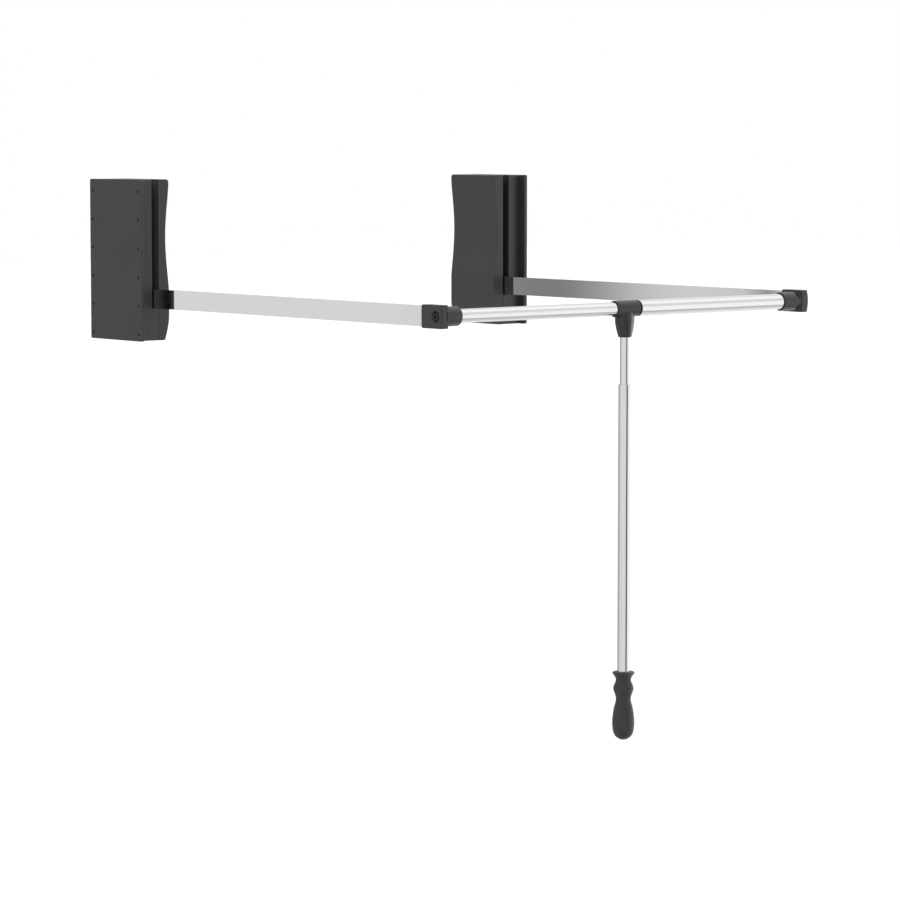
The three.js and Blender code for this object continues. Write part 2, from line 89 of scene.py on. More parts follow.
# How the noise of every finish is drawn, and the span that its values mostly keep to.
CLOUD_DETAIL = 3.0
GRAIN_DETAIL = {
    Surface.MOULDED: 4.0, Surface.POLISHED: 2.0, Surface.BRUSHED: 6.0, Surface.DRAWN: 6.0,
}
GRAIN_ROUGHNESS = 0.62
NOISE_SPAN = (0.3, 0.7)


class Graph:
    """The nodes of a material or of the world."""

    def __init__(self, owner: bpy.types.Material | bpy.types.World) -> None:
        """Lets a material or a world work with nodes.

        Args:
            owner: The material or world.
        """
        owner.use_nodes = True
        self.nodes = owner.node_tree.nodes
        self.links = owner.node_tree.links

    def feed(self, node: bpy.types.Node, inputs: dict[str | int, object]) -> None:
        """Fills inputs of a node.

        Args:
            node: The node.
            inputs: By name or number, a socket to link from or a value to set.
        """
        for key, value in inputs.items():
            if isinstance(value, Socket):
                self.links.new(value, node.inputs[key])
            else:
                node.inputs[key].default_value = value

    def add(
        self, kind: str, inputs: dict[str | int, object] | None = None, **settings: object
    ) -> bpy.types.NodeOutputs:
        """Adds a node.

        Args:
            kind: The node's type.
            inputs: What fills its inputs, as for feed.
            **settings: Its other values, by attribute.

        Returns:
            The node's outputs.
        """
        node = self.nodes.new(kind)
        for key, value in settings.items():
            setattr(node, key, value)
        self.feed(node, inputs or {})
        return node.outputs

    def maths(self, operation: str, *values: Socket | float) -> Socket:
        """The result of a maths node on sockets and numbers."""
        return self.add("ShaderNodeMath", dict(enumerate(values)), operation=operation)["Value"]

    def mottle(self, pattern: Socket, dark: Sequence[float], pale: Sequence[float]) -> Socket:
        """A colour between two others, as a pattern has it."""
        inputs = {"Factor": pattern, "A": dark, "B": pale}
        return self.add("ShaderNodeMix", inputs, data_type="RGBA")["Result"]


@dataclass(frozen=True)
class Finish:
    """One finish of the object, made into a material with a procedural pattern.

    The pattern has a broad cloud that shifts the tone, and a fine grain that carries the
    relief. The roughness follows both.
    """

    name: str
    slot: str
    surface: Surface
    colour: tuple[float, float, float]
    roughness: float
    metallic: float = 0.0
    grain: float = 0.5 * MM
    relief: float = 0.01 * MM
    tone_spread: float = 0.12
    roughness_spread: float = 0.06
    cloud: float = 60 * MM
    stretch: Point = (1.0, 1.0, 1.0)
    specular: float = 0.5

    def build(self) -> bpy.types.Material:
        """Makes the material.

        Returns:
            The new material, with all its patterns on object coordinates.
        """
        material = bpy.data.materials.new(self.name)
        graph = Graph(material)
        place = graph.add("ShaderNodeTexCoord")["Object"]
        cloud = graph.add("ShaderNodeTexNoise", {
            "Vector": place, "Scale": 1 / self.cloud, "Detail": CLOUD_DETAIL,
        })["Fac"]
        stretched = graph.add("ShaderNodeMapping", {"Vector": place, "Scale": self.stretch})
        grain = graph.add("ShaderNodeTexNoise", {
            "Vector": stretched["Vector"], "Scale": 1 / self.grain,
            "Detail": GRAIN_DETAIL[self.surface], "Roughness": GRAIN_ROUGHNESS,
        })["Fac"]
        bump = graph.add("ShaderNodeBump", {
            "Strength": 1.0, "Distance": self.relief, "Height": grain,
        })
        half = graph.maths("MULTIPLY", cloud, 0.5)
        rough = graph.add("ShaderNodeMapRange", {
            "Value": graph.maths("MULTIPLY_ADD", grain, 0.5, half),
            "From Min": NOISE_SPAN[0], "From Max": NOISE_SPAN[1],
            "To Min": max(0.0, self.roughness - self.roughness_spread),
            "To Max": self.roughness + self.roughness_spread,
        })
        dark, pale = self._shade(1 - self.tone_spread), self._shade(1 + self.tone_spread)
        graph.feed(graph.nodes["Principled BSDF"], {
            "Metallic": self.metallic, "Specular IOR Level": self.specular,
            "Base Color": graph.mottle(cloud, dark, pale),
            "Roughness": rough["Result"], "Normal": bump["Normal"],
        })
        return material

    def _shade(self, factor: float) -> tuple[float, float, float, float]:
        """The finish's colour, lighter or darker by a factor."""
        return tuple(min(1.0, part * factor) for part in self.colour) + (1.0,)


CHARCOAL = Finish(
    "charcoal_moulding", "charcoal_plastic", Surface.MOULDED, (0.027, 0.027, 0.028), 0.34,
    grain=0.45 * MM, relief=0.006 * MM, tone_spread=0.12, roughness_spread=0.04,
    specular=0.33,
)
TEE_PLASTIC = replace(
    CHARCOAL, name="charcoal_tee", colour=(0.021, 0.021, 0.022), roughness=0.32,
    grain=0.35 * MM, cloud=20 * MM,
)
GRIP_PLASTIC = replace(
    CHARCOAL, name="charcoal_grip", colour=(0.025, 0.025, 0.026), roughness=0.36,
    grain=0.3 * MM, cloud=25 * MM,
)
# Paler charcoal for the plate at the slot's floor: painted light that brightens the shaded slot.
SLOT_PAINTED_LIGHT_PLASTIC = Finish(
    "slot_floor_painted_light", "charcoal_plastic", Surface.MOULDED, (0.06, 0.06, 0.061), 0.5,
    grain=0.45 * MM, relief=0.006 * MM, cloud=20 * MM,
)
BLACK_PLASTIC = Finish(
    "satin_black_plastic", "black_plastic", Surface.MOULDED, (0.012, 0.012, 0.013), 0.38,
    grain=0.4 * MM, relief=0.01 * MM,
)
ARM_CHROME = Finish(
    "polished_arm", "chrome", Surface.POLISHED, (0.58, 0.585, 0.59), 0.04, metallic=1.0,
    grain=1.4 * MM, relief=0.0002 * MM, tone_spread=0.012, roughness_spread=0.015,
    cloud=180 * MM, stretch=(1.0, 0.06, 1.0),
)
RAIL_CHROME = replace(
    ARM_CHROME, name="polished_rail", roughness=0.06, roughness_spread=0.025,
    grain=1.1 * MM, cloud=150 * MM, stretch=(0.05, 1.0, 1.0),
)
ROD_CHROME = replace(RAIL_CHROME, name="polished_rod", stretch=(1.0, 1.0, 0.05))
ZINC_STEEL = Finish(
    "zinc_plated_steel", "steel", Surface.BRUSHED, (0.50, 0.51, 0.52), 0.32, metallic=1.0,
    grain=0.7 * MM, relief=0.004 * MM, tone_spread=0.12, roughness_spread=0.1,
    cloud=14 * MM, stretch=(0.15, 1.0, 1.0),
)
BLACK_STEEL = Finish(
    "blackened_steel", "steel", Surface.BRUSHED, (0.022, 0.022, 0.023), 0.55, metallic=0.3,
    grain=0.5 * MM, relief=0.004 * MM, tone_spread=0.15, roughness_spread=0.08, cloud=8 * MM,
    specular=0.3,
)
SPRING_WIRE = Finish(
    "oiled_spring_wire", "spring_steel", Surface.DRAWN, (0.20, 0.20, 0.21), 0.3, metallic=1.0,
    grain=0.4 * MM, relief=0.004 * MM, tone_spread=0.2, cloud=9 * MM,
)
STOP_RUBBER = Finish(
    "stop_rubber", "rubber", Surface.MOULDED, (0.014, 0.014, 0.014), 0.82,
    grain=0.6 * MM, relief=0.03 * MM, specular=0.3,
)
NATURAL_NYLON = Finish(
    "natural_nylon", "nylon", Surface.MOULDED, (0.72, 0.70, 0.64), 0.45,
    grain=0.8 * MM, relief=0.008 * MM, tone_spread=0.05, cloud=12 * MM,
)


class Paintshop:
    """Keeps one material for each finish, so that pieces with the same finish share it."""

    def __init__(self) -> None:
        """Starts with no material made."""
        self._made: dict[str, bpy.types.Material] = {}

    def coat(self, piece: Piece, finish: Finish) -> None:
        """Gives a piece one finish all over.

        Args:
            piece: The mesh object to dress.
            finish: The finish that it gets.
        """
        if finish.name not in self._made:
            self._made[finish.name] = finish.build()
        piece.data.materials.clear()
        piece.data.materials.append(self._made[finish.name])


PAINT = Paintshop()


# ---- modelling tools ---------------------------------------------------------------------------

# How close two places are taken as one, and two points are melted into one.
NEAR = 1e-6
WELD = 2e-6


def pick(obj: Piece) -> None:
    """Goes to object mode, with only one object selected and active.

    Args:
        obj: The object.
    """
    if bpy.context.mode != "OBJECT":
        bpy.ops.object.mode_set(mode="OBJECT")
    bpy.ops.object.select_all(action="DESELECT")
    obj.hide_viewport = False
    obj.select_set(True)
    bpy.context.view_layer.objects.active = obj


def settle(obj: Piece, name: str) -> Piece:
    """Puts an object's place, turn and size into its mesh.

    Args:
        obj: The object.
        name: The name that it and its mesh get.

    Returns:
        The same object.
    """
    pick(obj)
    bpy.ops.object.transform_apply(location=True, rotation=True, scale=True)
    obj.name = name
    obj.data.name = name
    return obj


def block(name: str, low: Point, high: Point) -> Piece:
    """Adds a box between two corners, given in any order.

    Args:
        name: The object's name.
        low: One corner.
        high: The opposite corner.

    Returns:
        The box, to be shaped further.
    """
    centre = [(a + b) / 2 for a, b in zip(low, high)]
    bpy.ops.mesh.primitive_cube_add(size=1, location=centre)
    obj = bpy.context.object
    obj.scale = [abs(b - a) for a, b in zip(low, high)]
    return settle(obj, name)


def cylinder(
    name: str, axis: Axis, radius: float, ends: Span,
    centre: Point = (0, 0, 0), sides: int = 48,
) -> Piece:
    """Adds a cylinder along an axis.

    Args:
        name: The object's name.
        axis: The axis that it lies along.
        radius: Its radius.
        ends: Where it starts and ends along that axis.
        centre: A point on its axis. Its part along the axis isn't used.
        sides: Its number of sides.

    Returns:
        The cylinder, to be shaped further or used as a tool.
    """
    along = Vector(axis.value)
    across = Vector(centre) - along * Vector(centre).dot(along)
    turn = {Axis.X: (0, math.pi / 2, 0), Axis.Y: (math.pi / 2, 0, 0), Axis.Z: (0, 0, 0)}[axis]
    bpy.ops.mesh.primitive_cylinder_add(
        vertices=sides, radius=radius, depth=abs(ends[1] - ends[0]),
        location=across + along * (ends[0] + ends[1]) / 2, rotation=turn,
    )
    return settle(bpy.context.object, name)


def bevel_where(obj: Piece, wanted: EdgeTest, width: float, segments: int = 3) -> Piece:
    """Rounds the edges of an object that pass a test.

    Args:
        obj: The object to change.
        wanted: Says of an edge's two ends whether it is rounded.
        width: How far the round reaches from the edge.
        segments: Its number of steps.

    Returns:
        The same object.
    """
    pick(obj)
    bpy.ops.object.mode_set(mode="EDIT")
    bpy.ops.mesh.select_mode(type="EDGE")
    bpy.ops.mesh.select_all(action="DESELECT")
    mesh = bmesh.from_edit_mesh(obj.data)
    chosen = [edge for edge in mesh.edges if wanted(edge.verts[0].co, edge.verts[1].co)]
    for edge in chosen:
        edge.select_set(True)
    bmesh.update_edit_mesh(obj.data)
    if chosen:
        bpy.ops.mesh.bevel(offset=width, segments=segments, affect="EDGES", clamp_overlap=True)
    bpy.ops.object.mode_set(mode="OBJECT")
    return obj


def apply_modifier(obj: Piece, kind: str, **settings: object) -> Piece:
    """Adds one modifier and applies it.

    Args:
        obj: The object to change.
        kind: The modifier's type.
        **settings: The modifier's values, by attribute.

    Returns:
        The same object.
    """
    pick(obj)
    modifier = obj.modifiers.new(kind.lower(), kind)
    for key, value in settings.items():
        setattr(modifier, key, value)
    bpy.ops.object.modifier_apply(modifier=modifier.name)
    return obj


def combine(obj: Piece, operation: str, *tools: Piece) -> Piece:
    """Cuts or joins an object with tool solids, which are used up.

    Args:
        obj: The object that stays.
        operation: DIFFERENCE, UNION or INTERSECT.
        *tools: Closed meshes, apart from each other.

    Returns:
        The same object.
    """
    for tool in tools:
        apply_modifier(obj, "BOOLEAN", operation=operation, object=tool, solver="EXACT")
        bpy.data.objects.remove(tool)
    return obj


def gather(tools: Sequence[Piece]) -> Piece:
    """Joins tools that lie apart, so that one cut does for all.

    Args:
        tools: The tools, which are used up.

    Returns:
        The one tool.
    """
    pick(tools[0])
    for tool in tools:
        tool.select_set(True)
    bpy.ops.object.join()
    return bpy.context.object


def even_light(obj: Piece, angle: float = 35) -> None:
    """Shades rounds smooth and flats flat.

    Args:
        obj: The object to shade.
        angle: The angle in degrees from which an edge stays sharp.
    """
    pick(obj)
    bpy.ops.object.shade_smooth_by_angle(angle=math.radians(angle))
    apply_modifier(obj, "WEIGHTED_NORMAL", keep_sharp=True, weight=60)


def chain(name: str, spots: Sequence[Vector]) -> Piece:
    """Lays edges from point to point.

    Args:
        name: The object's name.
        spots: The points in order.

    Returns:
        The edges, all selected in edit mode.
    """
    bpy.ops.mesh.primitive_plane_add(size=MM, location=spots[0])
    obj = settle(bpy.context.object, name)
    bpy.ops.object.mode_set(mode="EDIT")
    bpy.ops.mesh.select_mode(type="VERT")
    bpy.ops.mesh.select_all(action="SELECT")
    bpy.ops.mesh.merge(type="CENTER")
    for start, end in zip(spots, spots[1:]):
        bpy.ops.mesh.extrude_region_move(TRANSFORM_OT_translate={"value": end - start})
    bpy.ops.mesh.select_all(action="SELECT")
    return obj


def face_outwards(obj: Piece) -> Piece:
    """Turns the faces of the object in edit mode outwards, and goes back to object mode.

    Args:
        obj: The object that is being edited.

    Returns:
        The same object.
    """
    bpy.ops.mesh.select_all(action="SELECT")
    bpy.ops.mesh.normals_make_consistent(inside=False)
    bpy.ops.object.mode_set(mode="OBJECT")
    return obj


def turned(
    name: str, axis: Axis, outline: Outline, centre: Point, steps: int = 72
) -> Piece:
    """Turns an outline about an axis, as on a lathe.

    Args:
        name: The object's name.
        axis: The axis that the outline is spun about.
        outline: Radius and place along the axis, from one end to the other. It starts and
            ends on the axis, or closes on itself.
        centre: A point on the axis, which the places along it are counted from.
        steps: How many steps make the full turn.

    Returns:
        The closed, turned mesh.
    """
    along = Vector(axis.value)
    outwards = Vector((0, 0, 1)) if axis is not Axis.Z else Vector((1, 0, 0))
    obj = chain(name, [Vector(centre) + outwards * r + along * a for r, a in outline])
    bpy.ops.mesh.spin(steps=steps, angle=math.tau, center=centre, axis=along)
    bpy.ops.mesh.select_all(action="SELECT")
    bpy.ops.mesh.remove_doubles(threshold=WELD)
    return face_outwards(obj)


def arc(centre: Span, radius: float, start: float, end: float, steps: int) -> list[Span]:
    """Points of an arc in an outline, from one angle in degrees to another."""
    angles = [math.radians(start + (end - start) * i / steps) for i in range(steps + 1)]
    return [(centre[0] + radius * math.cos(a), centre[1] + radius * math.sin(a)) for a in angles]


def flowing(points: Outline, steps: int = 6) -> list[Span]:
    """A smooth line through a few points of an outline.

    Args:
        points: The points that the line goes through.
        steps: How many steps lie between two of them.

    Returns:
        The line's points, on a Catmull-Rom curve.
    """
    padded = [points[0], *points, points[-1]]
    line = []
    for a, b, c, d in zip(padded, padded[1:], padded[2:], padded[3:]):
        for i in range(steps):
            t = i / steps
            line.append(tuple(
                0.5 * (2 * q + (r - p) * t + (2 * p - 5 * q + 4 * r - s) * t * t
                       + (3 * q - p - 3 * r + s) * t ** 3)
                for p, q, r, s in zip(a, b, c, d)
            ))
    return [*line, points[-1]]


def hand_over(obj: Piece, body: str, finish: Finish, stands_for: Iterable[str]) -> None:
    """Dresses a finished piece and lets it move with its body.

    Args:
        obj: The finished piece.
        body: The body that it rides on.
        finish: Its finish.
        stands_for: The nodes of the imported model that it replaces.
    """
    PAINT.coat(obj, finish)
    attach(obj, body)
    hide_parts(*stands_for)
    LOG.info("%s rides on %s, %d faces", obj.name, body, len(obj.data.polygons))


def strip(name: str, axis: Axis, outline: Outline, ends: Span) -> Piece:
    """Carries a closed outline along an axis.

    Args:
        name: The object's name.
        axis: X carries an outline of (y, z), and Y one of (x, z).
        outline: The outline's corners in order.
        ends: Where the solid starts and ends along the axis.

    Returns:
        The closed solid.
    """
    start = ends[0]
    obj = chain(name, [
        Vector((start, u, v) if axis is Axis.X else (u, start, v)) for u, v in outline
    ])
    bpy.ops.mesh.edge_face_add()
    along = Vector(axis.value) * (ends[1] - start)
    bpy.ops.mesh.extrude_region_move(TRANSFORM_OT_translate={"value": along})
    return face_outwards(obj)


def across(obj: Piece, side: Side, span: float) -> Piece:
    """Moves a piece drawn for the left end to the right end, as seen in a mirror.

    Args:
        obj: The piece, drawn for the left end.
        side: The end where it belongs.
        span: The distance between the two mounting faces.

    Returns:
        The same object.
    """
    if side is Side.LEFT:
        return obj
    pick(obj)
    obj.scale.x = -1
    obj.location.x = span
    settle(obj, obj.name)
    bpy.ops.object.mode_set(mode="EDIT")
    return face_outwards(obj)


# ---- sub-assemblies ----------------------------------------------------------------------------


@dataclass
class Housing:
    """One spring-lift housing: a screwed-on base plate, a shell with the arm's slot and a cover.

    It is drawn for the left end, with x counted inwards from the mounting face.
    """

    side: Side
    span: float = 860 * MM
    plate_half_depth: float = 75 * MM
    plate_thick: float = 6.5 * MM
    plate_bottom: float = -71 * MM
    body_bottom: float = -71 * MM
    body_half_depth: float = 61 * MM
    top: float = 201 * MM
    body_thick: float = 67.5 * MM
    corner: float = 3 * MM
    plate_round: float = 1.3 * MM
    boss: float = 5.5 * MM
    wall: float = 2.5 * MM
    slot: Span = (32 * MM, 45.5 * MM)
    slot_floor: float = -24.5 * MM
    slot_lip: float = -16.8 * MM
    slot_back: float = 18 * MM
    hub: float = 9 * MM
    axle: float = 5 * MM
    screw_rows: int = 6
    screw_pitch: float = 48.2 * MM
    screw_hole: float = 2.3 * MM
    screw_inset: Span = (8 * MM, 20 * MM)
    dip: float = 7.2 * MM
    dip_span: Span = (12 * MM, 192 * MM)
    tuck: float = -28 * MM
    toe: float = 8 * MM
    toe_round: float = 2.5 * MM
    crown: float = 5 * MM
    pocket_bottom: float = -52 * MM
    pocket_face: float = 57.5 * MM
    gap: float = 0.3 * MM

    @property
    def body(self) -> str:
        """The body that the whole housing belongs to."""
        return f"{self.side.value}_housing"

    def build(self) -> None:
        """Builds and dresses the three mouldings of the housing."""
        for name, make in (
            ("base_plate", self.base_plate),
            ("outer_shell", self.outer_shell),
            ("inner_cover", self.inner_cover),
        ):
            piece = across(make(f"{self.side.value}_{name}_moulding"), self.side, self.span)
            even_light(piece)
            hand_over(piece, self.body, CHARCOAL, [f"{self.side.value}_{name}"])

    def base_plate(self, name: str) -> Piece:
        """Makes the plate against the wall, with a column of screw holes along each edge.

        Args:
            name: The piece's name.

        Returns:
            The plate.
        """
        half, thick = self.plate_half_depth, self.plate_thick
        plate = block(name, (0, -half, self.plate_bottom), (thick, half, self.top))
        bevel_where(plate, lambda a, b: abs(a.x - b.x) > thick / 2, self.corner, 6)
        bevel_where(plate, lambda a, b: min(a.x, b.x) > thick - NEAR, self.plate_round, 4)
        bevel_where(plate, lambda a, b: max(a.x, b.x) < NEAR, 0.35 * MM, 2)
        boss = cylinder("boss", Axis.X, self.hub, (thick - MM, thick + self.boss))
        combine(plate, "UNION", boss)
        seat = cylinder("seat", Axis.X, self.axle + self.gap, (thick, thick + 6 * MM))
        aside, below = self.screw_inset
        centres = [
            (0, y, self.top - below - row * self.screw_pitch)
            for row in range(self.screw_rows)
            for y in (-half + aside, half - aside)
        ]
        holes = [
            cylinder("hole", Axis.X, self.screw_hole, (-MM, thick + MM), centre, 32)
            for centre in centres
        ]
        combine(plate, "DIFFERENCE", seat, gather(holes))

        def on_rim(a: Vector, b: Vector) -> bool:
            """Says whether an edge runs round the mouth of a screw hole.

            Args:
                a: One end of the edge.
                b: Its other end.

            Returns:
                Whether it does.
            """
            level = abs(a.x - b.x) < NEAR and (a.x < NEAR or a.x > thick - NEAR)
            return level and any(
                math.hypot(a.y - y, a.z - z) < self.screw_hole + 0.05 * MM
                for _, y, z in centres
            )

        return bevel_where(plate, on_rim, 0.3 * MM, 2)

    def outer_shell(self, name: str) -> Piece:
        """Makes the box on the plate, with the arm's slot open at the front and the top.

        Args:
            name: The piece's name.

        Returns:
            The shell.
        """
        near = self.plate_thick + self.gap
        far = self.slot[1] - self.gap
        half, inside = self.body_half_depth, self.body_half_depth - self.wall
        chamber = self.slot[0] - self.wall
        low, high = self.body_bottom + self.wall, self.top - self.wall
        over = far + MM
        shell = block(name, (near, -half, self.body_bottom), (far, half, self.top))
        bevel_where(shell, lambda a, b: abs(a.x - b.x) > 10 * MM, self.corner, 6)
        rib = self.slot_back + self.wall
        floor = self.slot_floor
        slot_x = self.slot[0]
        combine(
            shell, "DIFFERENCE",
            block("chamber", (near - MM, -inside, low), (chamber, inside, high)),
            block("slot", (slot_x, -inside, floor), (over, self.slot_back, self.top + MM)),
            block("mouth", (slot_x, -half - MM, self.slot_lip), (over, -inside, self.top + MM)),
            block("behind", (slot_x, rib, low), (over, inside, high)),
            block("below", (slot_x, -inside, low), (over, rib - 0.1 * MM, floor - self.wall)),
            cylinder("hub", Axis.X, self.hub + 2.3 * MM, (chamber - MM, slot_x + MM)),
        )

        def outside(a: Vector, b: Vector) -> bool:
            """Says whether an edge lies on the outside of the box.

            Args:
                a: One end of the edge.
                b: Its other end.

            Returns:
                Whether it does.
            """
            return any(
                all(abs(abs(p.y) - half) < 1e-5 for p in (a, b))
                or all(abs(p.z - level) < 1e-5 for p in (a, b))
                for level in (self.body_bottom, self.top)
            )

        bevel_where(shell, outside, 0.7 * MM)
        return shell

    def face(self, z: float) -> float:
        """Measures how far the cover's face stands off the wall.

        Args:
            z: A height within the hollow of the face.

        Returns:
            The face's x.
        """
        start, end = self.dip_span
        along = min(1.0, max(0.0, (z - start) / (end - start)))
        return self.body_thick - self.dip * math.sin(math.pi * along) ** 1.35

    def inner_cover(self, name: str) -> Piece:
        """Makes the cover with a hollowed face, tucked in at the bottom and rounded at the top.

        Args:
            name: The piece's name.

        Returns:
            The cover.
        """
        thick, top, bottom = self.body_thick, self.top, self.body_bottom
        back, toe, heel, crown = self.slot[1], self.toe, self.toe_round, self.crown
        start, end = self.dip_span
        hollow = [start + (end - start) * i / 28 for i in range(29)]
        front = [
            (thick - 11.5 * MM, bottom), (thick - 8.9 * MM, bottom + 0.7 * MM),
            (thick - toe, bottom + heel),
            *[(thick - toe + toe * math.sin(math.pi / 2 * t),
               bottom + heel + (self.tuck - bottom - heel) * t)
              for t in (0.15, 0.3, 0.45, 0.6, 0.75, 0.9, 1.0)],
            *[(self.face(z), z) for z in hollow],
            *arc((thick - crown, top - crown), crown, 0, 90, 8),
        ]
        cover = strip(name, Axis.Y, [(back, bottom), *front, (back, top)],
                      (-self.body_half_depth, self.body_half_depth))
        rims = self.body_half_depth
        bevel_where(
            cover, lambda a, b: abs(a.y - b.y) < NEAR and abs(abs(a.y) - rims) < NEAR, MM)
        inside = rims - self.wall
        pocket = block("pocket", (back - MM, -inside, self.pocket_bottom),
                       (self.pocket_face, inside, top - self.wall))
        return combine(cover, "DIFFERENCE", pocket)


@dataclass
class SwingArm:
    """One flat, polished arm from its housing's pivot to the rail."""

    side: Side
    span: float = 860 * MM
    reach: float = 810 * MM
    half_height: float = 16 * MM
    faces: Span = (33.75 * MM, 43.75 * MM)
    wall: float = 1.5 * MM
    edge: float = 2 * MM
    bore: float = 9.3 * MM
    short: float = 15 * MM
    solid_root: float = 25 * MM

    def build(self) -> None:
        """Builds and dresses the bar with its round root."""
        near, far = self.faces
        half, end = self.half_height, self.short - self.reach
        bar = block(f"{self.side.value}_arm_polished", (near, end, -half), (far, half, half))
        at_root = half - NEAR
        bevel_where(bar, lambda a, b: min(a.y, b.y) > at_root and abs(a.x - b.x) > MM,
                    half - 0.01 * MM, 20)
        bevel_where(bar, lambda a, b: max(a.y, b.y) > end + MM, self.edge, 4)
        hollow = block("hollow", (near + self.wall, end - MM, -half + self.wall),
                       (far - self.wall, -self.solid_root, half - self.wall))
        hub = cylinder("hub", Axis.X, self.bore, (near - MM, far + MM), sides=64)
        combine(bar, "DIFFERENCE", hollow, hub)
        across(bar, self.side, self.span)
        even_light(bar)
        hand_over(bar, f"{self.side.value}_arm", ARM_CHROME, [f"{self.side.value}_arm_bar"])


@dataclass
class RailBracket:
    """The moulded bracket at an arm's end, with the rail's collar and its end screw."""

    side: Side
    tube: float
    collar_end: float
    waist: float = 0.3 * MM
    span: float = 860 * MM
    reach: float = 810 * MM
    outer_face: float = 31.25 * MM
    thick: float = 15 * MM
    half_height: float = 18.3 * MM
    front: float = 16 * MM
    back: float = 33 * MM
    bow: float = 3 * MM
    collar: float = 15.4 * MM
    fillet: float = 2.2 * MM
    recess: float = 10 * MM
    recess_depth: float = 4 * MM
    corner: float = 3 * MM
    tube_end: float = 41.2 * MM
    pocket: Span = (33.45 * MM, 44.05 * MM)
    pocket_end: float = 14.7 * MM
    pocket_half: float = 16.3 * MM
    gap: float = 0.3 * MM

    def build(self) -> None:
        """Builds and dresses the bracket and its screw."""
        side = self.side.value
        bracket = across(self.moulding(f"{side}_bracket_moulding"), self.side, self.span)
        even_light(bracket)
        hand_over(bracket, f"{side}_arm", CHARCOAL, [f"{side}_rail_bracket"])
        screw = across(self.screw(f"{side}_bracket_screw"), self.side, self.span)
        even_light(screw)
        hand_over(screw, f"{side}_arm", BLACK_STEEL, [f"{side}_rail_screw"])

    def moulding(self, name: str) -> Piece:
        """Makes the block with its collar, bored for the rail and open for the arm.

        Args:
            name: The piece's name.

        Returns:
            The moulding.
        """
        out, inn, axis = self.outer_face, self.outer_face + self.thick, -self.reach
        high, back = self.half_height, axis + self.back
        nose = [
            (axis - self.front + self.bow * (z / 8) ** 2, high * z / 8) for z in range(8, -9, -1)
        ]
        body = strip(name, Axis.X, [(back, high), *nose, (back, -high)], (out, inn))
        bevel_where(body, lambda a, b: abs(a.x - b.x) > MM and a.y > back - MM, self.corner, 6)
        front = axis - self.front + self.bow + 0.1 * MM
        bevel_where(body, lambda a, b: max(a.y, b.y) < front and max(a.x, b.x) < out + NEAR,
                    self.corner, 6)
        apply_modifier(
            body, "BEVEL", width=0.7 * MM, segments=3, limit_method="ANGLE",
            angle_limit=math.radians(40), use_clamp_overlap=True, harden_normals=False,
        )
        end, r, fillet = self.collar_end, self.collar, self.fillet
        root = r - self.waist
        ring = turned("collar", Axis.X, [
            (0, inn - 3 * MM), (root + fillet, inn - 3 * MM),
            *arc((root + fillet, inn - 0.1 * MM + fillet), fillet, -90, -180, 5),
            *[(root + self.waist * (1 - math.cos(math.pi * t)) / 2,
               inn + fillet + (2 + 8 * t) * MM) for t in (0, 0.2, 0.4, 0.6, 0.8, 1.0)],
            (r, end - 1.2 * MM),
            (r - 0.35 * MM, end - 0.35 * MM), (r - 1.2 * MM, end), (0, end),
        ], (0, axis, 0))
        combine(body, "UNION", ring)
        bore = cylinder("bore", Axis.X, self.tube + self.gap,
                        (self.tube_end, end + MM), (0, axis, 0), 72)
        well = turned("well", Axis.X, [
            (0, out - MM), (self.recess + 0.6 * MM, out - MM), (self.recess + 0.5 * MM, out),
            *[(self.recess - 2.7 * MM * t, out + self.recess_depth * t ** 1.6)
              for t in (0.12, 0.3, 0.5, 0.7, 0.87, 1.0)],
            (0, out + self.recess_depth),
        ], (0, axis, 0), 64)
        through = cylinder("through", Axis.X, 2.8 * MM, (out, self.tube_end + 0.1 * MM),
                           (0, axis, 0), 24)
        low, high = self.pocket
        pocket = block("pocket", (low, axis + self.pocket_end, -self.pocket_half),
                       (high, back + MM, self.pocket_half))
        combine(body, "DIFFERENCE", bore, well, through, pocket)

        def on_mouth(a: Vector, b: Vector) -> bool:
            """Says whether an edge runs round the collar's mouth.

            Args:
                a: One end of the edge.
                b: Its other end.

            Returns:
                Whether it does.
            """
            return all(
                abs(p.x - end) < NEAR and math.hypot(p.y - axis, p.z) < self.tube + 4e-4
                for p in (a, b)
            )

        return bevel_where(body, on_mouth, 0.5 * MM)

    def screw(self, name: str) -> Piece:
        """Makes the button-head screw in the recess, with a hexagon socket.

        Args:
            name: The piece's name.

        Returns:
            The screw.
        """
        seat, axis = self.outer_face + self.recess_depth - self.gap, -self.reach
        head = [
            (0, seat - 3 * MM), (4.6 * MM, seat - 3 * MM), (6.1 * MM, seat - 2.5 * MM),
            (6.8 * MM, seat - 1.4 * MM), (6.9 * MM, seat - 0.2 * MM), (6.7 * MM, seat),
            (2.5 * MM, seat), (2.5 * MM, seat + 23.5 * MM), (2 * MM, seat + 24 * MM),
            (0, seat + 24 * MM),
        ]
        screw = turned(name, Axis.X, head, (0, axis, 0), 48)
        socket = cylinder("socket", Axis.X, 2.6 * MM, (seat - 4 * MM, seat - 0.4 * MM),
                          (0, axis, 0), 6)
        return combine(screw, "DIFFERENCE", socket)


@dataclass
class HangingRail:
    """The telescopic rail: a thin tube from the left arm, inside a thicker one."""

    reach: float = 810 * MM
    inner: Span = (11 * MM, 9.8 * MM)
    inner_ends: Span = (41.5 * MM, 775 * MM)
    outer: Span = (13 * MM, 12 * MM)
    outer_ends: Span = (454.2 * MM, 818.5 * MM)

    def build(self) -> None:
        """Builds and dresses both tubes."""
        centre = (0, -self.reach, 0)
        thin = tube("rail_thin_tube", Axis.X, self.inner, self.inner_ends, centre)
        hand_over(thin, "left_arm", RAIL_CHROME, ["rail_inner_tube"])
        thick = tube("rail_thick_tube", Axis.X, self.outer, self.outer_ends, centre)
        hand_over(thick, "right_arm", RAIL_CHROME, ["rail_outer_tube"])


